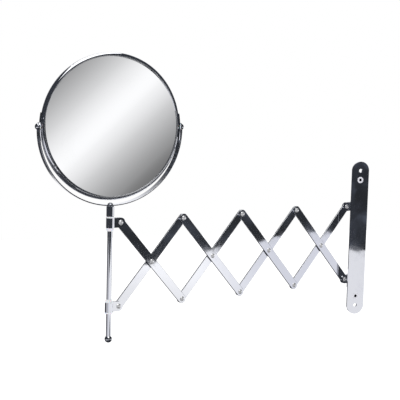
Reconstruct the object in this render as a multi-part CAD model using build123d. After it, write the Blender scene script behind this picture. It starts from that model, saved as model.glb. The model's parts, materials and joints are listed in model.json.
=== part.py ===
from build123d import *
from math import asin, degrees, sqrt
import os

# Extendable shaving mirror: a round double-sided mirror in a yoke, on a scissor arm of eight
# flat bars, which swings on a rod that stands off a screwed wall plate. All sizes are in mm.
# Frame: the origin is the centre of the wall plate's wall face, +Z is up, the wall is towards
# -Y and the room towards +Y. The model is shown as it leaves its box, off the wall, with the
# arm turned a little past the plane of the wall.

# ---------------------------------------------------------------- driving dimensions
# Fits
running_gap = 0.06  # radial clearance of a turning or sliding fit
snug_gap = 0.02  # radial clearance of a fixed fit
face_gap = 0.06  # clearance along the axis between faces that turn on each other

# Rods: the wall rod and the head rod are the same stock and take the same sleeves
rod_diameter = 6.0

# Wall plate, its posts and the rod that they carry
plate_width = 25.0
plate_thickness = 2.5
plate_end = 12.5  # centre of a fixing hole to the end of the plate
plate_hole_diameter = 5.2
plate_edge_round = 0.5
rod_standoff = 18.0  # wall face to the axis of the wall rod
post_inset = 12.8  # fixing hole to the post beside it
post_diameter = 8.0
post_screw_diameter = 4.0
post_screw_head_diameter = 8.6
post_screw_length = 11.0
post_screw_socket = 3.6  # across the flats
post_screw_socket_depth = 1.8
spigot_diameter = 4.0
stop_lift = 5.24  # bare rod below the stop collar
stop_collar_diameter = 10.0
stop_collar_height = 5.0
grub_screw_diameter = 3.0
grub_screw_recess = 0.2  # below the face of the collar
grub_screw_socket = 1.5
grub_screw_socket_depth = 1.0

# Scissor arm
bar_pitch = 136.8  # between the two end holes
bar_width = 11.0
bar_thickness = 1.5
bar_edge_round = 0.35
cell_count = 4
layer_gap = 0.6  # between the front and the rear layer of bars
pin_diameter = 4.0
rivet_head_diameter = 6.3
rivet_head_height = 1.5
rivet_tail_diameter = 5.6
rivet_tail_height = 1.1
washer_diameter = 9.0

# Sleeve brackets: a strip wrapped round a nylon bush, with two ears for the end of a bar
strip_thickness = 1.0
strip_height = 11.8
strip_bend_radius = 1.4
ear_gap = 0.15  # between an ear and the face of the bar
sleeve_reach = 13.25  # rod axis to the pivot in the ears
bush_wall = 0.75
bush_flange_thickness = 1.6
bush_flange_lip = 0.95  # of the flange beyond the wall of the bush
bush_skirt_height = 3.8
bush_skirt_top_lip = 0.65
bush_skirt_end_lip = 0.15

# How the arm stands at rest
pivot_spacing = 101.75  # from the lower to the upper pivots
sleeve_headroom = 26.95  # bare rod above the upper sleeve
arm_heading = 197.4  # of the arm, seen from above, from +X
head_turn = -9.4  # of the mirror head, from the plane of the arm

# Head rod, collar and ball
collar_wall = 1.6  # outside the rod, and thicker than the bevel at its top
collar_diameter = rod_diameter + 2 * collar_wall
collar_height = 13.1
collar_chamfer = 0.5
collar_shoulder = 1.2  # bevel at its top, under the yoke
ball_diameter = 9.0
ball_drop = 140.3  # upper pivots down to the centre of the ball

# Yoke
yoke_thickness = 1.3
yoke_width = 9.6
yoke_side_gap = 1.7  # rim to yoke, along the tilt axis
yoke_bottom_gap = 5.4  # rim to yoke, below the mirror
yoke_edge_round = 0.35
yoke_screw_diameter = 4.0
yoke_screw_head_diameter = 7.0
yoke_screw_head_height = 2.2
yoke_screw_length = 10.0
yoke_screw_socket = 2.5
yoke_screw_socket_depth = 1.3

# Mirror
rim_diameter = 172.6
rim_wall = 0.9
rim_lip_thickness = 0.8
rim_lip_cover = 1.0  # of the lip over the edge of the glass
rim_corner_round = 3.2
glass_thickness = 1.6
glass_edge_gap = 0.1  # glass to where the rim's wall starts to curve in
glass_gap = 1.4  # between the backs of the two glasses, in the middle
magnifier_dish = 1.8  # depth of the hollow of the magnifying glass
spacer_width = 8.0
pad_gap = 0.2  # foam pad to the back of the magnifying glass
pad_margin = 3.0
cover_length = 32.0
cover_width = 6.0
cover_thickness = 0.7
tilt_washer_diameter = 8.0
tilt_pin_diameter = 4.0
tilt_thread_diameter = 2.5
tilt_thread_length = 5.0
knob_diameter = 8.0
knob_height = 3.2
knob_clearance = 0.3  # between the yoke's curved face and the flat faces beside it

# ---------------------------------------------------------------- derived places
bush_top = strip_height / 2 + bush_flange_thickness
post_to_pivot = post_diameter / 2 + stop_lift + stop_collar_height + face_gap + bush_top
pivot_to_post = bush_top + sleeve_headroom + post_diameter / 2
post_spacing = post_to_pivot + pivot_spacing + pivot_to_post
plate_hole_spacing = post_spacing + 2 * post_inset
plate_height = plate_hole_spacing + 2 * plate_end

scissor_angle = degrees(asin(pivot_spacing / bar_pitch))  # of each bar, from level
column_pitch = sqrt(bar_pitch**2 - pivot_spacing**2)
lower_pivot_height = post_to_pivot - post_spacing / 2
upper_pivot_height = lower_pivot_height + pivot_spacing
layer_centre = (layer_gap + bar_thickness) / 2
layer_outer = layer_gap / 2 + bar_thickness
arm_length = cell_count * column_pitch
head_rod_x = sleeve_reach + arm_length + sleeve_reach

pin_radius = pin_diameter / 2
rod_radius = rod_diameter / 2
rod_bore = rod_diameter + 2 * snug_gap
rim_radius = rim_diameter / 2
rim_depth = 2 * (rim_lip_thickness + glass_thickness) + glass_gap + magnifier_dish
glass_radius = rim_radius - rim_corner_round - glass_edge_gap
lip_radius = glass_radius - rim_lip_cover
spacer_inner = glass_radius - spacer_width

collar_base = upper_pivot_height + bush_top + face_gap
yoke_base = collar_base + collar_height
yoke_drop = rim_radius + yoke_bottom_gap + yoke_thickness
mirror_height = yoke_base + yoke_drop
yoke_side = rim_radius + yoke_side_gap + yoke_thickness

wall_place = Pos(0, rod_standoff, 0)
arm_place = wall_place * Rot(0, 0, arm_heading)
head_place = arm_place * Pos(head_rod_x, 0, 0) * Rot(0, 0, 180 + head_turn)
mirror_place = head_place * Pos(0, 0, mirror_height)

TO_Y = Rot(-90, 0, 0)  # turns a shape that points along +Z so that it points along +Y
TO_X = Rot(0, 90, 0)  # turns a shape that points along +Z so that it points along +X

nodes = {}


# ---------------------------------------------------------------- shapes used more than once
def rod(diameter, low, high):
    """A round bar along Z between two heights."""
    return Pos(0, 0, (low + high) / 2) * Cylinder(diameter / 2, high - low)


def ring(outer_diameter, inner_diameter, low, high):
    """A round tube along Z between two heights."""
    return rod(outer_diameter, low, high) - rod(inner_diameter, low, high)


def dome(diameter, height):
    """A low dome, flat face at the origin, that rises along +Z."""
    radius = (diameter * diameter / 4 + height * height) / (2 * height)
    ball = Pos(0, 0, height - radius) * Sphere(radius)
    return ball & Pos(0, 0, height) * Cylinder(diameter, 2 * height)


def hex_socket(across_flats, depth):
    """A hexagonal recess that runs down from the origin."""
    return extrude(RegularPolygon(across_flats / sqrt(3), 6), -depth)


def countersink(gap):
    """The cone of a post screw's head, from the origin along +Z, with a gap all round."""
    depth = (post_screw_head_diameter - post_screw_diameter) / 2
    cone = Cone(post_screw_head_diameter / 2 + gap, post_screw_diameter / 2 + gap, depth)
    return Pos(0, 0, depth / 2) * cone


def turned(outline):
    """The solid of revolution of an outline in X and Y about the Y axis."""
    return revolve(outline, Axis.Y)


def rivet(low, high):
    """A rivet along Z, with its dome head above high and its formed tail below low."""
    head = Pos(0, 0, high) * dome(rivet_head_diameter, rivet_head_height)
    tail = Pos(0, 0, low) * Rot(180, 0, 0) * dome(rivet_tail_diameter, rivet_tail_height)
    return rod(pin_diameter, low, high) + head + tail


# ---------------------------------------------------------------- wall plate
def wall_plate():
    outline = Rot(0, 0, 90) * SlotOverall(plate_height, plate_width)
    blank = TO_Y * extrude(outline, plate_thickness)
    room_face = blank.faces().sort_by(Axis.Y)[-1]
    blank = fillet(room_face.outer_wire().edges(), plate_edge_round)
    for side in (-1, 1):
        fixing = Pos(0, plate_thickness / 2, side * plate_hole_spacing / 2)
        blank -= fixing * TO_Y * Cylinder(plate_hole_diameter / 2, 2 * plate_thickness)
        screw = Pos(0, 0, side * post_spacing / 2) * TO_Y
        blank -= screw * Cylinder(post_screw_diameter / 2 + snug_gap, 4 * plate_thickness)
        blank -= screw * countersink(snug_gap)
    return blank


def wall_post(side):
    """A round post that stands off the plate and ends in a ball round the end of the rod."""
    stem = Cylinder(post_diameter / 2, rod_standoff - plate_thickness)
    stem = Pos(0, 0, (rod_standoff + plate_thickness) / 2) * stem
    post = TO_Y * (stem + Pos(0, 0, rod_standoff) * Sphere(post_diameter / 2))
    thread = rod(post_screw_diameter + 2 * snug_gap, 0, post_screw_length + snug_gap)
    spigot = Cylinder(spigot_diameter / 2 + snug_gap, post_diameter)
    post -= TO_Y * (thread + countersink(snug_gap))
    post -= Pos(0, rod_standoff, -side * post_diameter / 4) * spigot
    return Pos(0, 0, side * post_spacing / 2) * post


def post_screws():
    """The two countersunk screws that hold the posts, put in from the wall side."""
    screw = countersink(0) + rod(post_screw_diameter, 0, post_screw_length)
    screw -= Rot(180, 0, 0) * hex_socket(post_screw_socket, post_screw_socket_depth)
    upright = TO_Y * screw
    return Compound([Pos(0, 0, side * post_spacing / 2) * upright for side in (-1, 1)])


def wall_rod():
    shoulder = (post_spacing - post_diameter) / 2
    spigot_end = (post_spacing + post_diameter / 2) / 2
    return rod(rod_diameter, -shoulder, shoulder) + rod(spigot_diameter, -spigot_end, spigot_end)


stop_top = lower_pivot_height - bush_top - face_gap
stop_middle = stop_top - stop_collar_height / 2
stop_screw_place = Pos(0, rod_standoff, stop_middle) * TO_Y
stop_collar = wall_place * ring(stop_collar_diameter, rod_bore, stop_top - stop_collar_height, stop_top)
stop_collar -= stop_screw_place * rod(grub_screw_diameter + 2 * snug_gap, 0, stop_collar_diameter)
grub_screw_face = stop_collar_diameter / 2 - grub_screw_recess
grub_screw = rod(grub_screw_diameter, rod_radius + snug_gap, grub_screw_face)
grub_screw -= Pos(0, 0, grub_screw_face) * hex_socket(grub_screw_socket, grub_screw_socket_depth)

nodes["wall_plate"] = wall_plate()
nodes["wall_post_upper"] = wall_post(1)
nodes["wall_post_lower"] = wall_post(-1)
nodes["post_screws"] = post_screws()
nodes["wall_rod"] = wall_place * wall_rod()
nodes["stop_collar"] = stop_collar
nodes["stop_collar_screw"] = stop_screw_place * grub_screw


# ---------------------------------------------------------------- sleeve brackets
def bracket(bar_centre):
    """A strip wrapped round the bush at the origin, with its ears towards +X round a bar."""
    loop_inner = rod_radius + bush_wall
    loop_outer = loop_inner + strip_thickness
    slot_half = bar_thickness / 2 + ear_gap
    ear_half = slot_half + strip_thickness
    ear_end = sleeve_reach + strip_height / 2
    strip = Circle(loop_outer) + Pos(ear_end / 2, bar_centre) * Rectangle(ear_end, 2 * ear_half)
    bends = [v for v in strip.vertices() if 0 < v.X < loop_outer]
    strip = fillet(bends, strip_bend_radius)
    slot = Pos(ear_end, bar_centre) * Rectangle(2 * ear_end, 2 * slot_half)
    strip -= Circle(loop_inner) + slot
    blank = extrude(strip, strip_height / 2, both=True)
    view_length = sleeve_reach + 2 * loop_outer
    side_view = Pos(sleeve_reach - view_length / 2, 0) * Rectangle(view_length, strip_height)
    side_view += Pos(sleeve_reach, 0) * Circle(strip_height / 2)
    side_view -= Pos(sleeve_reach, 0) * Circle(pin_radius + snug_gap)
    return blank & TO_Y * extrude(side_view, 2 * strip_height, both=True)


def bush():
    """A nylon bush: a flange above the strip and a tapered skirt below it."""
    half = strip_height / 2
    wall_radius = rod_radius + bush_wall
    body = rod(2 * (wall_radius - snug_gap), -half, half)
    flange = rod(2 * (wall_radius + bush_flange_lip), half, bush_top)
    flange = fillet(flange.faces().sort_by(Axis.Z)[-1].edges(), bush_flange_thickness / 3)
    skirt = Cone(wall_radius + bush_skirt_end_lip, wall_radius + bush_skirt_top_lip, bush_skirt_height)
    body += flange + Pos(0, 0, -half - bush_skirt_height / 2) * skirt
    return body - Cylinder(rod_radius + running_gap, 4 * strip_height)


def sleeve(name, place, bar_centre, flange_up, head_up):
    """One bracket, its bush, and the rivet that holds the end of a bar between the ears."""
    half_grip = bar_thickness / 2 + ear_gap + strip_thickness
    flip = Rot(0, 0, 0) if flange_up else Rot(180, 0, 0)
    pin = TO_Y * Rot(0 if head_up else 180, 0, 0) * rivet(-half_grip, half_grip)
    nodes[name + "_bracket"] = place * bracket(bar_centre)
    nodes[name + "_bush"] = place * flip * bush()
    nodes[name + "_rivet"] = place * Pos(sleeve_reach, bar_centre, 0) * pin


def wall_sleeve(name, height, layer, flange_up):
    """A sleeve on the wall rod, whose ears point along the arm."""
    place = arm_place * Pos(0, 0, height)
    sleeve(name, place, layer * layer_centre, flange_up, head_up=True)


def head_sleeve(name, height, layer, flange_up):
    """A sleeve on the head rod, whose ears point back along the arm."""
    place = arm_place * Pos(head_rod_x, 0, height) * Rot(0, 0, 180)
    sleeve(name, place, -layer * layer_centre, flange_up, head_up=False)


FRONT = 1
REAR = -1
wall_sleeve("wall_lower", lower_pivot_height, FRONT, flange_up=False)
wall_sleeve("wall_upper", upper_pivot_height, REAR, flange_up=True)
head_sleeve("head_lower", lower_pivot_height, REAR, flange_up=False)
head_sleeve("head_upper", upper_pivot_height, FRONT, flange_up=True)


# ---------------------------------------------------------------- scissor arm
def flat_bar(near_gap, middle_gap, far_gap):
    """A flat bar along X with round ends and three holes, each with its own clearance."""
    blank = extrude(SlotCenterToCenter(bar_pitch, bar_width), bar_thickness / 2, both=True)
    for face in (blank.faces().sort_by(Axis.Z)[0], blank.faces().sort_by(Axis.Z)[-1]):
        blank = fillet(face.outer_wire().edges(), bar_edge_round)
    for x, gap in ((-bar_pitch / 2, near_gap), (0, middle_gap), (bar_pitch / 2, far_gap)):
        blank -= Pos(x, 0, 0) * Cylinder(pin_radius + gap, 2 * bar_thickness)
    return TO_Y * blank


def pivot_washer(low, high):
    return TO_Y * ring(washer_diameter, pin_diameter + 2 * snug_gap, low, high)


half_gap = layer_gap / 2
front_rivet = TO_Y * rivet(-layer_outer - face_gap, layer_outer)  # held by a front bar
rear_rivet = TO_Y * rivet(-layer_outer, layer_outer + face_gap)  # held by a rear bar
front_washer = pivot_washer(-half_gap + face_gap, half_gap)
rear_washer = pivot_washer(-half_gap, half_gap - face_gap)

for cell in range(1, cell_count + 1):
    last = cell == cell_count
    near_x = sleeve_reach + (cell - 1) * column_pitch
    middle = arm_place * Pos(near_x + column_pitch / 2, 0, (upper_pivot_height + lower_pivot_height) / 2)
    upper = arm_place * Pos(near_x + column_pitch, 0, upper_pivot_height)
    lower = arm_place * Pos(near_x + column_pitch, 0, lower_pivot_height)
    end_gap = running_gap if last else snug_gap

    front = flat_bar(running_gap, snug_gap, end_gap)
    rear = flat_bar(running_gap, running_gap, end_gap)
    nodes[f"front_bar_{cell}"] = middle * Pos(0, layer_centre, 0) * Rot(0, -scissor_angle, 0) * front
    nodes[f"rear_bar_{cell}"] = middle * Pos(0, -layer_centre, 0) * Rot(0, scissor_angle, 0) * rear
    nodes[f"cross_rivet_{cell}"] = middle * front_rivet
    front_washers = [middle * front_washer]
    if not last:
        front_washers.append(upper * front_washer)
        nodes[f"upper_rivet_{cell}"] = upper * front_rivet
        nodes[f"lower_rivet_{cell}"] = lower * rear_rivet
        nodes[f"rear_washer_{cell}"] = lower * rear_washer
    nodes[f"front_washers_{cell}"] = Compound(front_washers)


# ---------------------------------------------------------------- head rod and yoke
ball_height = upper_pivot_height - ball_drop
screw_bore = yoke_screw_diameter + 2 * snug_gap
head_rod = rod(rod_diameter, ball_height, yoke_base)
head_rod -= rod(screw_bore, yoke_base - yoke_screw_length, yoke_base + yoke_screw_length)
ball_knob = Pos(0, 0, ball_height) * Sphere(ball_diameter / 2)
ball_knob -= rod(rod_bore, ball_height, ball_height + ball_diameter)
collar = ring(collar_diameter, rod_bore, collar_base, yoke_base)
collar = chamfer(collar.faces().sort_by(Axis.Z)[0].outer_wire().edges(), collar_chamfer)
collar = chamfer(collar.faces().sort_by(Axis.Z)[-1].outer_wire().edges(), collar_shoulder)


def yoke():
    """A strip bent to an arc under the mirror, with round ends about the tilt axis."""
    arc_drop = (yoke_drop**2 - yoke_side**2) / (2 * yoke_drop)  # tilt axis down to the arc's centre
    outer_radius = yoke_drop - arc_drop
    section = Pos(outer_radius - yoke_thickness / 2, 0) * Rectangle(yoke_thickness, yoke_width)
    section = fillet(section.vertices(), yoke_edge_round)
    strip = Pos(0, 0, -arc_drop) * turned(section)
    below = Pos(0, 0, -outer_radius) * Box(4 * outer_radius, 2 * yoke_width, 2 * outer_radius)
    ends = TO_X * Cylinder(yoke_width / 2, 4 * outer_radius)
    strip &= below + ends
    pivot_bore = Cylinder(tilt_pin_diameter / 2 + running_gap, 4 * outer_radius)
    strip -= TO_X * pivot_bore
    return strip - rod(screw_bore, -2 * yoke_drop, 0)


seat_rise = (yoke_screw_head_diameter / 2) ** 2 / (2 * yoke_drop) + snug_gap  # the seat is curved
seat = yoke_base + yoke_thickness + seat_rise
yoke_screw = Pos(0, 0, seat) * dome(yoke_screw_head_diameter, yoke_screw_head_height)
yoke_screw += rod(yoke_screw_diameter, seat - yoke_screw_length, seat)
socket_top = seat + yoke_screw_head_height
yoke_screw -= Pos(0, 0, socket_top) * hex_socket(yoke_screw_socket, yoke_screw_socket_depth)

nodes["head_rod"] = head_place * head_rod
nodes["ball_knob"] = head_place * ball_knob
nodes["rod_collar"] = head_place * collar
nodes["yoke"] = mirror_place * yoke()
nodes["yoke_screw"] = head_place * yoke_screw


# ---------------------------------------------------------------- mirror
# Built about the tilt axis, with the plain glass facing -Y.
half_depth = rim_depth / 2
glass_face = half_depth - rim_lip_thickness
inner_radius = rim_radius - rim_wall
front_back = -glass_face + glass_thickness  # back of the plain glass
dish_radius = (lip_radius**2 + magnifier_dish**2) / (2 * magnifier_dish)
dish_centre = glass_face - magnifier_dish + dish_radius
back_radius = dish_radius + glass_thickness


def dished(radius, distance):
    """Where a sphere of this radius about the dish centre lies, at a distance from the axis."""
    return dish_centre - sqrt(radius**2 - distance**2)


def mirror_rim():
    section = Pos((lip_radius + rim_radius) / 2, 0) * Rectangle(rim_radius - lip_radius, rim_depth)
    outer = section.vertices().group_by(Axis.X)[-1]
    section = fillet(outer, rim_corner_round)
    inner = section.vertices().group_by(Axis.X)[0]
    section = fillet(inner, rim_lip_thickness / 3)
    channel = Pos(inner_radius / 2, 0) * Rectangle(inner_radius, 2 * glass_face)
    channel = fillet(channel.vertices().group_by(Axis.X)[-1], rim_corner_round - rim_wall)
    rim = turned(section - channel)
    return rim - TO_X * Cylinder(tilt_thread_diameter / 2 + snug_gap, 4 * rim_radius)


def front_glass():
    return TO_Y * Pos(0, 0, (front_back - glass_face) / 2) * Cylinder(glass_radius, glass_thickness)


def magnifying_glass():
    """A glass with a shallow dish ground into its face, flat under the lip of the rim."""
    rim_back = dished(back_radius, glass_radius)
    middle = lip_radius / 2
    outline = Polyline((0, dished(back_radius, 0)), (0, dished(dish_radius, 0)))
    outline += ThreePointArc(
        (0, dished(dish_radius, 0)), (middle, dished(dish_radius, middle)), (lip_radius, glass_face)
    )
    outline += Polyline((lip_radius, glass_face), (glass_radius, glass_face), (glass_radius, rim_back))
    outline += ThreePointArc(
        (glass_radius, rim_back), (middle, dished(back_radius, middle)), (0, dished(back_radius, 0))
    )
    return turned(make_face(outline))


def spacer_ring():
    """The ring that keeps the two glasses apart at the rim and takes the tilt screws."""
    rear = dished(back_radius, spacer_inner) - face_gap
    spacer = TO_Y * ring(2 * glass_radius, 2 * spacer_inner, front_back, rear)
    return spacer - TO_X * Cylinder(tilt_thread_diameter / 2 + snug_gap, 4 * rim_radius)


def foam_pad():
    """A foam disc between the backs of the glasses."""
    return TO_Y * rod(2 * (spacer_inner - pad_margin), front_back, front_back + glass_gap - pad_gap)


def pivot_cover():
    """A curved plate on the outside of the rim, over the thread of a tilt screw."""
    cover_diameter = 2 * (rim_radius + cover_thickness)
    band = TO_Y * ring(cover_diameter, rim_diameter, -cover_width / 2, cover_width / 2)
    window = Pos(rim_radius, 0, 0) * Box(rim_radius / 2, 2 * cover_width, cover_length)
    return (band & window) - TO_X * Cylinder(tilt_thread_diameter / 2 + snug_gap, 4 * rim_radius)


def tilt_screw():
    """A dome-headed screw that turns in the yoke and is threaded into the rim and spacer."""
    cover_top = rim_radius + cover_thickness
    head_seat = yoke_side + knob_clearance
    screw = rod(tilt_thread_diameter, rim_radius - rim_wall - tilt_thread_length, cover_top)
    screw += rod(tilt_pin_diameter, cover_top, head_seat)
    screw += Pos(0, 0, head_seat) * dome(knob_diameter, knob_height)
    return TO_X * screw


def tilt_washer():
    cover_top = rim_radius + cover_thickness
    yoke_inner = yoke_side - yoke_thickness - knob_clearance
    return TO_X * ring(tilt_washer_diameter, tilt_pin_diameter + 2 * snug_gap, cover_top, yoke_inner)


def both_sides(piece):
    return Compound([mirror_place * Rot(0, 0, turn) * piece for turn in (0, 180)])


nodes["mirror_rim"] = mirror_place * mirror_rim()
nodes["front_glass"] = mirror_place * front_glass()
nodes["magnifying_glass"] = mirror_place * magnifying_glass()
nodes["spacer_ring"] = mirror_place * spacer_ring()
nodes["foam_pad"] = mirror_place * foam_pad()
nodes["pivot_cover_right"] = mirror_place * pivot_cover()
nodes["pivot_cover_left"] = mirror_place * Rot(0, 0, 180) * pivot_cover()
nodes["tilt_screw_right"] = mirror_place * tilt_screw()
nodes["tilt_screw_left"] = mirror_place * Rot(0, 0, 180) * tilt_screw()
nodes["tilt_washers"] = both_sides(tilt_washer())


# ---------------------------------------------------------------- files
os.makedirs("parts", exist_ok=True)
for name, shape in nodes.items():
    export_step(shape, f"parts/{name}.step")
print(len(nodes), "nodes")
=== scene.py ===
import json
from math import cos, pi, radians, sin

import bpy
from mathutils import Euler, Matrix, Vector


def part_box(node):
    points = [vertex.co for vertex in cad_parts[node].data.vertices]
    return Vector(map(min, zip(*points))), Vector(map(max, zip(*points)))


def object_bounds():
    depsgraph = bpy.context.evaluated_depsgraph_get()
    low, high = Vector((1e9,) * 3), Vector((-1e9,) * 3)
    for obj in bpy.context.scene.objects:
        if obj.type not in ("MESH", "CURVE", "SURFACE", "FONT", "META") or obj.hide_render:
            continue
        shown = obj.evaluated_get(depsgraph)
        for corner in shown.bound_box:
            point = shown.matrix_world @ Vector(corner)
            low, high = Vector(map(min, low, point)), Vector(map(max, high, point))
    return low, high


# An extendable shaving mirror: a round mirror in a yoke, on a scissor arm of chromed flat bars.
# Everything is in metres, +Z up, with the wall side of the screwed plate at the origin facing -Y.
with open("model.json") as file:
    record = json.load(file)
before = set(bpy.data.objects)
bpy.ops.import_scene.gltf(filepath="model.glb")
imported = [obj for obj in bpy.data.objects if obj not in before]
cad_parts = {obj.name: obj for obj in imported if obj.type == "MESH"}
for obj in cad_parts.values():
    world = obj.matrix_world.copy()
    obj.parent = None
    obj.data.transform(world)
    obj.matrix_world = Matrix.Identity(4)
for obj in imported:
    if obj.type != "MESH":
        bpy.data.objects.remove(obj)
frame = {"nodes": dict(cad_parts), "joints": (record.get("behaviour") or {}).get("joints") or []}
cad_low, cad_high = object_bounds()
nodes = frame["nodes"]
centre = (cad_low + cad_high) / 2


# ---------------------------------------------------------------- camera
# A long lens, a little above the arm and turned to the right, with a slight roll of the tripod.
camera_data = bpy.data.cameras.new("camera")
camera_data.lens = 96.0
camera_data.sensor_width = 36.0
camera_data.clip_start = 0.05
camera_data.clip_end = 60.0
camera = bpy.data.objects.new("camera", camera_data)
bpy.context.scene.collection.objects.link(camera)
bpy.context.scene.camera = camera
camera_down = 6.74  # degrees below level
camera_right = 18.02  # degrees from +Y towards +X
camera_roll = 1.475
camera_place = Vector((-0.6602, -1.3196, 0.2201))
bpy.context.scene.view_settings.view_transform = "Standard"
aim = Euler((radians(90 - camera_down), 0, radians(-camera_right))).to_matrix()
camera.matrix_world = Matrix.Translation(camera_place) @ (
    aim @ Matrix.Rotation(radians(camera_roll), 3, "Z")
).to_4x4()


# ---------------------------------------------------------------- studio
# The room is white to the eye and for soft light. In the chrome it is a dark studio, with a lit
# sweep behind the object and a low white table to the right.
def link(tree, source, target):
    tree.links.new(source, target)


def add_node(tree, kind, **settings):
    """A new shader node, with its settings and the values of its unlinked inputs."""
    node = tree.nodes.new(kind)
    for key, value in settings.items():
        if key in node.bl_rna.properties:
            setattr(node, key, value)
        else:
            node.inputs[key.replace("_", " ")].default_value = value
    return node


def math_node(tree, operation, first, second=None):
    """A Math node that takes sockets or numbers."""
    node = add_node(tree, "ShaderNodeMath", operation=operation)
    for index, value in enumerate((first, second)):
        if isinstance(value, bpy.types.NodeSocket):
            link(tree, value, node.inputs[index])
        elif value is not None:
            node.inputs[index].default_value = value
    return node.outputs[0]


def fade(tree, value, start, end, low=0.0, high=1.0):
    """A smooth change from low to high as the value goes from start to end."""
    node = add_node(tree, "ShaderNodeMapRange", interpolation_type="SMOOTHSTEP")
    link(tree, value, node.inputs["Value"])
    for key, number in (("From Min", start), ("From Max", end), ("To Min", low), ("To Max", high)):
        node.inputs[key].default_value = number
    return node.outputs["Result"]


def both(tree, *masks):
    """Where all of the masks hold."""
    product = masks[0]
    for mask in masks[1:]:
        product = math_node(tree, "MULTIPLY", product, mask)
    return product


def mix_colour(tree, factor, first, second):
    """A colour mix that takes sockets or colours."""
    node = add_node(tree, "ShaderNodeMix", data_type="RGBA")
    link(tree, factor, node.inputs[0])
    for index, value in ((6, first), (7, second)):
        if isinstance(value, bpy.types.NodeSocket):
            link(tree, value, node.inputs[index])
        else:
            node.inputs[index].default_value = (*value, 1)
    return node.outputs[2]


room = bpy.data.worlds.new("room")
bpy.context.scene.world = room
room.use_nodes = True
tree = room.node_tree
tree.nodes.clear()
direction = add_node(tree, "ShaderNodeTexCoord").outputs["Generated"]
split = add_node(tree, "ShaderNodeSeparateXYZ")
link(tree, direction, split.inputs[0])
x, y, z = split.outputs
level = math_node(tree, "SUBTRACT", 1.0, math_node(tree, "POWER", z, 2.0))
to_right = math_node(tree, "DIVIDE", x, math_node(tree, "SQRT", level))  # cosine of the heading, from +X
behind = both(
    tree, fade(tree, y, 0.0, 0.2), fade(tree, to_right, 0.62, 0.50), fade(tree, to_right, -0.45, 0.25)
)
sweep = both(tree, behind, fade(tree, z, 0.62, 0.36))
table = both(tree, fade(tree, to_right, 0.88, 0.92), fade(tree, z, -0.070, -0.085))
lit = math_node(tree, "MAXIMUM", sweep, table)
cloud = add_node(tree, "ShaderNodeTexNoise", Scale=38.0, Detail=5.0, Roughness=0.62)
link(tree, direction, cloud.inputs["Vector"])
cloudy = fade(tree, cloud.outputs["Fac"], 0.44, 0.72)
dark = mix_colour(tree, cloudy, (0.027, 0.029, 0.033), (0.095, 0.107, 0.135))
seen_in_chrome = mix_colour(tree, lit, dark, (1.05, 1.05, 1.08))
rays = add_node(tree, "ShaderNodeLightPath")
room_colour = mix_colour(tree, rays.outputs["Is Glossy Ray"], (1.0, 1.0, 1.0), seen_in_chrome)
background = add_node(tree, "ShaderNodeBackground", Strength=1.0)
link(tree, room_colour, background.inputs["Color"])
link(tree, background.outputs[0], add_node(tree, "ShaderNodeOutputWorld").inputs["Surface"])

# The floor is pale paint, a metre below the arm. For glossy rays it glows with painted light and painted
# shade: in the chrome its far part is a bright painted glow and the part under the object is painted dark.
floor_level = cad_low.z - 0.9
rim_low, rim_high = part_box("mirror_rim")
head_middle = (rim_low + rim_high) / 2
floor_corners = [
    (6.4, -2.4),
    (5.9, -3.68),
    (3.92, -3.62),
    (2.5, -5.9),
    (-1.4, -5.1),
    (-6.0, -4.6),
    (-6.6, 6.0),
    (7.0, 6.6),
]
floor_mesh = bpy.data.meshes.new("floor")
floor_mesh.from_pydata([(x, y, floor_level) for x, y in floor_corners], [], [range(len(floor_corners))])
floor = bpy.data.objects.new("floor", floor_mesh)
bpy.context.scene.collection.objects.link(floor)

paint = bpy.data.materials.new("floor_paint")
paint.use_nodes = True
tree = paint.node_tree
tree.nodes.clear()
split = add_node(tree, "ShaderNodeSeparateXYZ")
link(tree, add_node(tree, "ShaderNodeNewGeometry").outputs["Position"], split.inputs[0])
x, y, _ = split.outputs


def floor_range(middle_x, middle_y):
    """How far a place on the floor is from a point on it."""
    along = math_node(tree, "POWER", math_node(tree, "SUBTRACT", x, middle_x), 2.0)
    across = math_node(tree, "POWER", math_node(tree, "SUBTRACT", y, middle_y), 2.0)
    return math_node(tree, "SQRT", math_node(tree, "ADD", along, across))


# Painted light in the floor's glow: bright from two or three metres out, and brightest to the right of the
# middle; dimmer far to the right in front, and at the left.
forward = math_node(tree, "DIVIDE", y, x)
far_colour = mix_colour(tree, fade(tree, x, 3.0, 4.0), (0.97, 0.97, 0.99), (1.18, 1.18, 1.20))
right_front = both(tree, fade(tree, y, -0.5, -1.2), fade(tree, forward, -0.86, -0.66))
far_colour = mix_colour(tree, right_front, far_colour, (0.80, 0.81, 0.88))
far_colour = mix_colour(tree, fade(tree, x, -1.6, -4.0), far_colour, (0.48, 0.48, 0.51))

# Painted shade in the floor's glow: dark round the object, in front of it to the right, and behind it on
# both sides.
to_head = math_node(tree, "SUBTRACT", x, head_middle.x)
leftward = math_node(tree, "DIVIDE", to_head, floor_range(head_middle.x, head_middle.y))
behind_left = both(tree, fade(tree, leftward, 0.0, -0.28), fade(tree, y, 0.0, 0.6))
behind_right = both(
    tree, fade(tree, forward, 0.49, 0.53), fade(tree, forward, 3.0, 2.0), fade(tree, x, 0.5, 1.2)
)
floor_painted_light_mask = both(
    tree,
    fade(tree, floor_range(centre.x + 0.5, centre.y - 0.3), 1.9, 2.6),
    fade(tree, floor_range(centre.x + 1.5, centre.y - 1.85), 1.4, 1.8),
    fade(tree, behind_left, 1.0, 0.0),
    fade(tree, behind_right, 1.0, 0.0),
)
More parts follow.
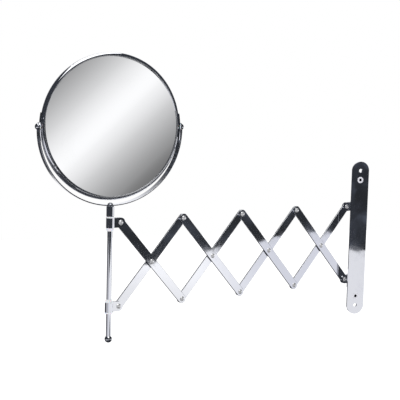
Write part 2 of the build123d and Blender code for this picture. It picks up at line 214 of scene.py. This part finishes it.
# The floor's glow for glossy rays is a painted reflection: painted light where the mask holds, painted
# shade elsewhere.
floor_painted_reflection = mix_colour(tree, floor_painted_light_mask, (0.050, 0.053, 0.062), far_colour)
glow = add_node(tree, "ShaderNodeEmission")
link(tree, floor_painted_reflection, glow.inputs["Color"])
matt = add_node(tree, "ShaderNodeBsdfDiffuse", Color=(0.92, 0.92, 0.92, 1))
lift = add_node(tree, "ShaderNodeEmission", Strength=0.3)
pale = add_node(tree, "ShaderNodeAddShader")
link(tree, matt.outputs[0], pale.inputs[0])
link(tree, lift.outputs[0], pale.inputs[1])
rays = add_node(tree, "ShaderNodeLightPath")
either = add_node(tree, "ShaderNodeMixShader")
link(tree, rays.outputs["Is Glossy Ray"], either.inputs[0])
link(tree, pale.outputs[0], either.inputs[1])
link(tree, glow.outputs[0], either.inputs[2])
link(tree, either.outputs[0], add_node(tree, "ShaderNodeOutputMaterial").inputs["Surface"])
floor_mesh.materials.append(paint)


# A long soft box hangs level over the mirror and in front of it, and lights the rim from above.
box_light = bpy.data.lights.new("overhead_box", "AREA")
box_light.shape = "RECTANGLE"
box_light.size = 1.1
box_light.size_y = 2.9
box_light.energy = 16
overhead_box = bpy.data.objects.new("overhead_box", box_light)
bpy.context.scene.collection.objects.link(overhead_box)
overhead_box.location = head_middle + Vector((0.0, -0.48, 1.15))

# The gradient card: an oval card with a soft diagonal shade, cut so that the plain glass reflects
# all of it and the rim round the glass reflects none.
card_facing = Vector((-0.4858, 0.8726, 0.0503))
card_distance = 1.5
card_shift = Vector((-0.0065, -0.0185, 0.0017))
card_radii = Vector((0.169, 0.181))
card_middle = Vector((-0.0150, -0.0030))
card_turn = radians(-7.5)  # the oval's upper end leans to one side
card_sides = 128
gradient_reach = 0.19  # from the middle of the card to each end of the shade
card_shades = [
    (0.0, 0.15),
    (0.104, 0.235),
    (0.306, 0.62),
    (0.449, 0.93),
    (0.525, 1.0),
    (0.618, 0.90),
    (0.736, 0.67),
    (0.896, 0.36),
    (1.0, 0.26),
]
card_mesh = bpy.data.meshes.new("gradient_card")
oval = []
for side in range(card_sides):
    turn = 2 * pi * side / card_sides
    point = Vector((card_radii.x * cos(turn), card_radii.y * sin(turn)))
    oval.append((*(Matrix.Rotation(card_turn, 2) @ point + card_middle), 0))
card_mesh.from_pydata(oval, [], [range(card_sides)])
card = bpy.data.objects.new("gradient_card", card_mesh)
bpy.context.scene.collection.objects.link(card)
card.location = head_middle - card_facing * card_distance + card_shift
card.rotation_euler = card_facing.to_track_quat("Z", "Y").to_euler()
card.visible_camera = False
card.visible_diffuse = False
card.visible_shadow = False

shade = bpy.data.materials.new("card_shade")
shade.use_nodes = True
tree = shade.node_tree
tree.nodes.clear()
split = add_node(tree, "ShaderNodeSeparateXYZ")
link(tree, add_node(tree, "ShaderNodeTexCoord").outputs["Object"], split.inputs[0])
diagonal = math_node(tree, "ADD", split.outputs[0], split.outputs[1])
diagonal = math_node(tree, "MULTIPLY", diagonal, cos(pi / 4))
from_end = math_node(tree, "ADD", diagonal, gradient_reach)
share = math_node(tree, "MULTIPLY", from_end, 0.5 / gradient_reach)
ramp = add_node(tree, "ShaderNodeValToRGB")
ramp.color_ramp.interpolation = "B_SPLINE"
stops = ramp.color_ramp.elements
stops[0].position, stops[1].position = card_shades[0][0], card_shades[-1][0]
for position, value in card_shades[1:-1]:
    stops.new(position)
for stop, (position, value) in zip(stops, card_shades):
    stop.color = (value, value, value * 1.01, 1)
link(tree, share, ramp.inputs[0])
glow = add_node(tree, "ShaderNodeEmission", Strength=1.05)
link(tree, ramp.outputs[0], glow.inputs["Color"])
link(tree, glow.outputs[0], add_node(tree, "ShaderNodeOutputMaterial").inputs["Surface"])
card_mesh.materials.append(shade)


# ---------------------------------------------------------------- the polish
# Buffed and plated faces are never quite even: faint smears from hands, and hairlines left by
# the buffing wheel. This group makes both, for every polished metal below.
polish = bpy.data.node_groups.new("polish", "ShaderNodeTree")
for name, kind, value in (
    ("Vector", "NodeSocketVector", (0, 0, 0)),
    ("Gloss", "NodeSocketFloat", 0.03),
    ("Smears", "NodeSocketFloat", 0.1),
    ("Smear Scale", "NodeSocketFloat", 40.0),
    ("Hairlines", "NodeSocketFloat", 0.02),
    ("Metal", "NodeSocketColor", (0.8, 0.8, 0.82, 1)),
    ("Stain", "NodeSocketColor", (0.7, 0.7, 0.72, 1)),
):
    polish.interface.new_socket(name, in_out="INPUT", socket_type=kind).default_value = value
for name, kind in (
    ("Color", "NodeSocketColor"),
    ("Roughness", "NodeSocketFloat"),
    ("Height", "NodeSocketFloat"),
):
    polish.interface.new_socket(name, in_out="OUTPUT", socket_type=kind)
given = add_node(polish, "NodeGroupInput").outputs
made = add_node(polish, "NodeGroupOutput").inputs
blotch = add_node(polish, "ShaderNodeTexNoise", Detail=5.0, Roughness=0.62, Distortion=0.6)
link(polish, given["Vector"], blotch.inputs["Vector"])
link(polish, given["Smear Scale"], blotch.inputs["Scale"])
smear = fade(polish, blotch.outputs["Fac"], 0.5, 0.78)
stretch = add_node(polish, "ShaderNodeMapping")
stretch.inputs["Scale"].default_value = (30, 1600, 1600)
link(polish, given["Vector"], stretch.inputs["Vector"])
line = add_node(polish, "ShaderNodeTexNoise", Scale=1.0, Detail=2.0, Roughness=0.5)
link(polish, stretch.outputs[0], line.inputs["Vector"])
hairline = fade(polish, line.outputs["Fac"], 0.56, 0.72)
rough = math_node(polish, "MULTIPLY", smear, given["Smears"])
rough = math_node(polish, "ADD", rough, math_node(polish, "MULTIPLY", hairline, given["Hairlines"]))
link(polish, math_node(polish, "ADD", rough, given["Gloss"]), made["Roughness"])
link(polish, mix_colour(polish, smear, given["Metal"], given["Stain"]), made["Color"])
wave = add_node(polish, "ShaderNodeTexNoise", Scale=55.0, Detail=1.0)
link(polish, given["Vector"], wave.inputs["Vector"])
lines_height = math_node(polish, "MULTIPLY", hairline, -0.003)
waves_height = math_node(polish, "MULTIPLY", wave.outputs["Fac"], 0.6)
link(polish, math_node(polish, "ADD", waves_height, lines_height), made["Height"])


def polished(
    name, metal, stain, gloss, smears, smear_scale, hairlines, wave_depth, grain=None, metallic=1.0
):
    """A polished metal whose hairlines run along the first axis of grain, three axes as rows."""
    material = bpy.data.materials.new(name)
    material.use_nodes = True
    tree = material.node_tree
    shader = tree.nodes["Principled BSDF"]
    place = add_node(tree, "ShaderNodeTexCoord").outputs["Object"]
    if grain is not None:
        turn = add_node(tree, "ShaderNodeMapping")
        turn.inputs["Rotation"].default_value = Matrix(grain).to_euler()
        link(tree, place, turn.inputs["Vector"])
        place = turn.outputs[0]
    surface = tree.nodes.new("ShaderNodeGroup")
    surface.node_tree = polish
    link(tree, place, surface.inputs["Vector"])
    for key, value in (
        ("Gloss", gloss),
        ("Smears", smears),
        ("Smear Scale", smear_scale),
        ("Hairlines", hairlines),
        ("Metal", (*metal, 1)),
        ("Stain", (*stain, 1)),
    ):
        surface.inputs[key].default_value = value
    shader.inputs["Metallic"].default_value = metallic
    link(tree, surface.outputs["Color"], shader.inputs["Base Color"])
    link(tree, surface.outputs["Roughness"], shader.inputs["Roughness"])
    bump = add_node(tree, "ShaderNodeBump", Distance=wave_depth, Strength=1.0)
    link(tree, surface.outputs["Height"], bump.inputs["Height"])
    link(tree, bump.outputs[0], shader.inputs["Normal"])
    return material


def finish(material, *names):
    """Gives CAD nodes this material in every slot."""
    for name in names:
        mesh = nodes[name].data
        for index in range(len(mesh.materials)):
            mesh.materials[index] = material


# ---------------------------------------------------------------- wall plate and rod
# A flat steel plate with round ends, blanked, polished and chromed, with two screw holes; the two
# turned posts are screwed on from behind, and hold the rod that the arm swings on.
plate_chrome = polished(
    "plate_chrome",
    metal=(0.74, 0.75, 0.79),
    stain=(0.70, 0.71, 0.76),
    gloss=0.03,
    smears=0.03,
    smear_scale=34.0,
    hairlines=0.015,
    wave_depth=0.00006,
    grain=((0, 0, 1), (1, 0, 0), (0, 1, 0)),
)
finish(plate_chrome, "wall_plate")
turned_chrome = polished(
    "turned_chrome",
    metal=(0.80, 0.81, 0.84),
    stain=(0.74, 0.75, 0.79),
    gloss=0.03,
    smears=0.03,
    smear_scale=60.0,
    hairlines=0.012,
    wave_depth=0.00002,
    grain=((0, 0, 1), (1, 0, 0), (0, 1, 0)),
)
finish(turned_chrome, "wall_post_upper", "wall_post_lower", "wall_rod", "stop_collar")


# ---------------------------------------------------------------- screws
# Socket screws of zinc plated steel, turned and then plated: duller and greyer than the chrome, and
# a little blue. The grub screw and the yoke's screw are of this.
zinc = polished(
    "zinc_plate",
    metal=(0.60, 0.62, 0.66),
    stain=(0.42, 0.43, 0.46),
    gloss=0.26,
    smears=0.16,
    smear_scale=420.0,
    hairlines=0.12,
    wave_depth=0.00003,
)
finish(zinc, "stop_collar_screw", "yoke_screw")

# The two screws that hold the posts are brighter, and their sockets, with the edge round each, are
# painted dark: painted shade in the recess, spread a little past its mouth.
bright_zinc = polished(
    "bright_zinc",
    metal=(0.80, 0.80, 0.86),
    stain=(0.66, 0.66, 0.71),
    gloss=0.34,
    smears=0.10,
    smear_scale=420.0,
    hairlines=0.10,
    wave_depth=0.00002,
    metallic=0.35,
)
tree = bright_zinc.node_tree
shader = tree.nodes["Principled BSDF"]
screw_low, screw_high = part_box("post_screws")
split = add_node(tree, "ShaderNodeSeparateXYZ")
link(tree, add_node(tree, "ShaderNodeTexCoord").outputs["Object"], split.inputs[0])
socket_start = 0.0006  # how far in from the head's face the painted shade begins
socket_painted_shade = fade(tree, split.outputs[1], screw_low.y + socket_start, screw_low.y + 2 * socket_start)
plated = shader.inputs["Base Color"].links[0].from_socket
across = math_node(tree, "POWER", split.outputs[0], 2.0)
screw_height = screw_high.z - screw_high.x  # from the plate's middle to each screw's
above = math_node(tree, "SUBTRACT", math_node(tree, "ABSOLUTE", split.outputs[2]), screw_height)
above = math_node(tree, "POWER", above, 2.0)
from_middle = math_node(tree, "SQRT", math_node(tree, "ADD", across, above))
mouth_radius = 0.0022  # of the painted shade over the socket's mouth, a little wider than the socket
mouth_painted_shade = fade(tree, from_middle, mouth_radius, mouth_radius * 0.85)
socket_painted_shade = math_node(tree, "MAXIMUM", socket_painted_shade, mouth_painted_shade)
# Painted shade: each socket and a narrow ring round its mouth are painted near black.
link(tree, mix_colour(tree, socket_painted_shade, plated, (0.012, 0.012, 0.014)), shader.inputs["Base Color"])
finish(bright_zinc, "post_screws")


# ---------------------------------------------------------------- scissor arm
# Eight flat bars, four in front and four behind, of chromed rolled strip; the hairlines of the
# polish run along each bar.
joints = {joint["name"]: joint for joint in frame["joints"]}


def joint_place(name):
    return Vector(joints[name]["pos_m"])


arm_normal = Vector(joints["arm_extend"]["axis"])
for layer, start in (("front", "arm_extend"), ("rear", "wall_upper_pivot")):
    along_bar = (joint_place("cross_pivot_1") - joint_place(start)).normalized()
    bar_chrome = polished(
        layer + "_bar_chrome",
        metal=(0.80, 0.81, 0.84),
        stain=(0.76, 0.77, 0.82),
        gloss=0.03,
        smears=0.03,
        smear_scale=46.0,
        hairlines=0.015,
        wave_depth=0.00005,
        grain=(along_bar, arm_normal, along_bar.cross(arm_normal)),
    )
    finish(bar_chrome, *[f"{layer}_bar_{cell}" for cell in (1, 2, 3, 4)])


# ---------------------------------------------------------------- sleeve brackets
# Chromed strip wrapped round a white nylon bush, with two ears for the end of a bar.
SLEEVES = ("wall_lower", "wall_upper", "head_lower", "head_upper")
finish(turned_chrome, *[name + "_bracket" for name in SLEEVES])


# ---------------------------------------------------------------- rivets
# Solid rivets with low dome heads, nickel plated: a softer and whiter shine than the bars.
nickel = polished(
    "rivet_nickel",
    metal=(0.93, 0.93, 0.94),
    stain=(0.80, 0.80, 0.81),
    gloss=0.17,
    smears=0.12,
    smear_scale=500.0,
    hairlines=0.10,
    wave_depth=0.00002,
    metallic=0.72,
)
finish(nickel, *[name + "_rivet" for name in SLEEVES])
finish(nickel, *[name for name in nodes if name.startswith(("cross_rivet", "upper_rivet", "lower_rivet"))])


# ---------------------------------------------------------------- nylon bushes and washers
# Moulded white nylon, waxy and a little see-through at thin edges.
nylon = bpy.data.materials.new("white_nylon")
nylon.use_nodes = True
tree = nylon.node_tree
shader = tree.nodes["Principled BSDF"]
place = add_node(tree, "ShaderNodeTexCoord").outputs["Object"]
cloud = add_node(tree, "ShaderNodeTexNoise", Scale=220.0, Detail=4.0)
link(tree, place, cloud.inputs["Vector"])
link(
    tree,
    mix_colour(tree, fade(tree, cloud.outputs["Fac"], 0.35, 0.7), (0.68, 0.69, 0.73), (0.60, 0.61, 0.65)),
    shader.inputs["Base Color"],
)
link(tree, fade(tree, cloud.outputs["Fac"], 0.3, 0.7, 0.32, 0.46), shader.inputs["Roughness"])
speckle = add_node(tree, "ShaderNodeTexNoise", Scale=2400.0, Detail=2.0)
link(tree, place, speckle.inputs["Vector"])
bump = add_node(tree, "ShaderNodeBump", Distance=0.00001, Strength=0.5)
link(tree, speckle.outputs["Fac"], bump.inputs["Height"])
link(tree, bump.outputs[0], shader.inputs["Normal"])
shader.inputs["Subsurface Weight"].default_value = 0.15
shader.inputs["Subsurface Scale"].default_value = 0.002
finish(nylon, "tilt_washers", *[name for name in nodes if "bush" in name or "_washer" in name])


# ---------------------------------------------------------------- head rod, collar and ball
# A chromed rod with a turned collar at its top and a ball pressed on its lower end.
finish(turned_chrome, "head_rod", "rod_collar", "ball_knob")


# ---------------------------------------------------------------- yoke
# A chromed strip bent to an arc, which carries the mirror between two dome-headed screws.
finish(turned_chrome, "yoke")
for side in ("left", "right"):
    finish(turned_chrome, "tilt_screw_" + side, "pivot_cover_" + side)


# ---------------------------------------------------------------- mirror
# A rolled and chromed rim round two glasses: a plain one in front and a magnifying one behind.
finish(turned_chrome, "mirror_rim")


def silvered(name, gloss):
    """Silvered glass: a bright even mirror with a trace of dust and wiping marks."""
    material = bpy.data.materials.new(name)
    material.use_nodes = True
    tree = material.node_tree
    shader = tree.nodes["Principled BSDF"]
    shader.inputs["Metallic"].default_value = 1.0
    place = add_node(tree, "ShaderNodeTexCoord").outputs["Object"]
    wiped = add_node(tree, "ShaderNodeTexNoise", Scale=26.0, Detail=4.0, Distortion=1.2)
    link(tree, place, wiped.inputs["Vector"])
    mark = fade(tree, wiped.outputs["Fac"], 0.5, 0.8)
    silver = mix_colour(tree, mark, (0.955, 0.96, 0.965), (0.94, 0.945, 0.95))
    link(tree, silver, shader.inputs["Base Color"])
    haze = math_node(tree, "MULTIPLY", mark, 0.02)
    link(tree, math_node(tree, "ADD", haze, gloss), shader.inputs["Roughness"])
    return material


finish(silvered("plain_silvering", 0.004), "front_glass")
finish(silvered("magnifier_silvering", 0.006), "magnifying_glass")

# Inside the rim: the black moulded ring that keeps the glasses apart, and a disc of black foam.
black = bpy.data.materials.new("black_moulding")
black.use_nodes = True
tree = black.node_tree
shader = tree.nodes["Principled BSDF"]
grit = add_node(tree, "ShaderNodeTexNoise", Scale=900.0, Detail=3.0)
link(tree, add_node(tree, "ShaderNodeTexCoord").outputs["Object"], grit.inputs["Vector"])
link(
    tree,
    mix_colour(tree, grit.outputs["Fac"], (0.020, 0.020, 0.022), (0.038, 0.038, 0.040)),
    shader.inputs["Base Color"],
)
link(tree, fade(tree, grit.outputs["Fac"], 0.3, 0.7, 0.42, 0.58), shader.inputs["Roughness"])
bump = add_node(tree, "ShaderNodeBump", Distance=0.00003, Strength=0.6)
link(tree, grit.outputs["Fac"], bump.inputs["Height"])
link(tree, bump.outputs[0], shader.inputs["Normal"])
finish(black, "spacer_ring")

foam = bpy.data.materials.new("black_foam")
foam.use_nodes = True
tree = foam.node_tree
shader = tree.nodes["Principled BSDF"]
cells = add_node(tree, "ShaderNodeTexVoronoi", Scale=1400.0)
link(tree, add_node(tree, "ShaderNodeTexCoord").outputs["Object"], cells.inputs["Vector"])
cell_wall = fade(tree, cells.outputs["Distance"], 0.1, 0.6)
link(
    tree,
    mix_colour(tree, cell_wall, (0.012, 0.012, 0.013), (0.060, 0.060, 0.063)),
    shader.inputs["Base Color"],
)
shader.inputs["Roughness"].default_value = 0.95
bump = add_node(tree, "ShaderNodeBump", Distance=0.0002, Strength=0.8)
link(tree, cells.outputs["Distance"], bump.inputs["Height"])
link(tree, bump.outputs[0], shader.inputs["Normal"])
finish(foam, "foam_pad")
